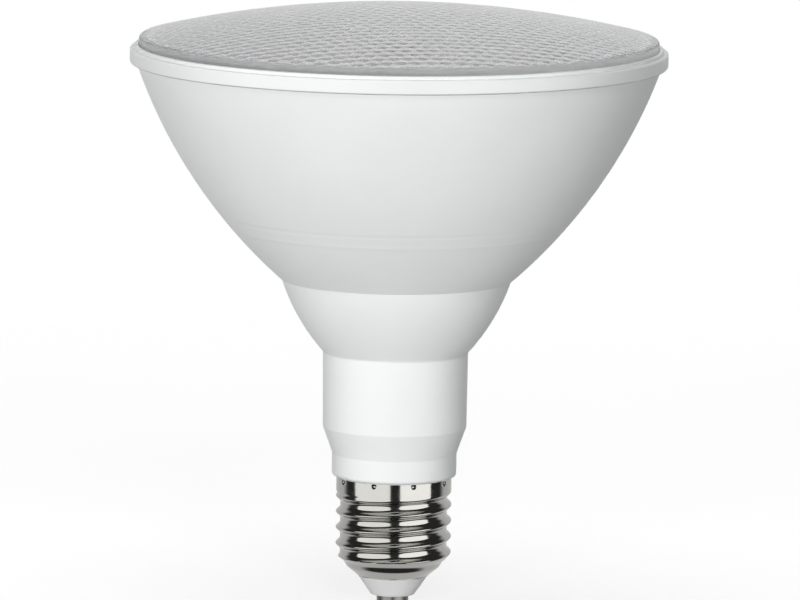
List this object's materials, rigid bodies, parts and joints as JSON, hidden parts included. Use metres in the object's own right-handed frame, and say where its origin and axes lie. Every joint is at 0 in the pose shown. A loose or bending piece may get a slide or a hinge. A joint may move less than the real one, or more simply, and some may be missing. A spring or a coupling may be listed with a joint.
{
  "type": "grow light bulb",
  "caption": "Reflector-shaped plant lamp with a clear domed lens, a white flared housing and a metal Edison screw cap, which lights plants from a lamp holder.",
  "frame": {"origin": "middle of the centre contact's flat end face", "axes": "+Z along the lamp's axis from the cap to the lens; the pictured side faces -Y"},
  "size_m": [0.121, 0.121, 0.1357],
  "materials": {
    "clear_lens": "gloss",
    "white_plastic": "satin",
    "aluminium_sheet": "satin",
    "board_white": "matte",
    "chip_white": "satin",
    "chip_red": "satin",
    "screw_steel": "satin",
    "connector_plastic": "satin",
    "lead_red": "satin",
    "lead_black": "satin",
    "lead_white": "satin",
    "board_green": "satin",
    "ferrite": "matte",
    "winding_tape": "gloss",
    "capacitor_sleeve": "satin",
    "film_yellow": "satin",
    "black_resin": "matte",
    "choke_brown": "satin",
    "resistor_coat": "satin",
    "nickel": "polished",
    "insulator_plastic": "satin"
  },
  "bodies": {
    "root": {"lens": "clear_lens", "rim_ring": "white_plastic", "housing": "white_plastic", "heat_sink_cup": "aluminium_sheet", "light_board": "board_white", "white_chips": "chip_white", "red_chips": "chip_red", "board_screws": "screw_steel", "wire_connector": "connector_plastic", "positive_lead": "lead_red", "negative_lead": "lead_black", "driver_board": "board_green", "transformer_core": "ferrite", "transformer_winding": "winding_tape", "output_capacitor": "capacitor_sleeve", "input_capacitor": "film_yellow", "bridge_rectifier": "black_resin", "control_chip": "black_resin", "choke": "choke_brown", "fuse_resistor": "resistor_coat", "contact_lead": "lead_white", "shell_lead": "lead_white", "screw_shell": "nickel", "cap_insulator": "insulator_plastic", "centre_contact": "nickel"}
  },
  "joints": []
}
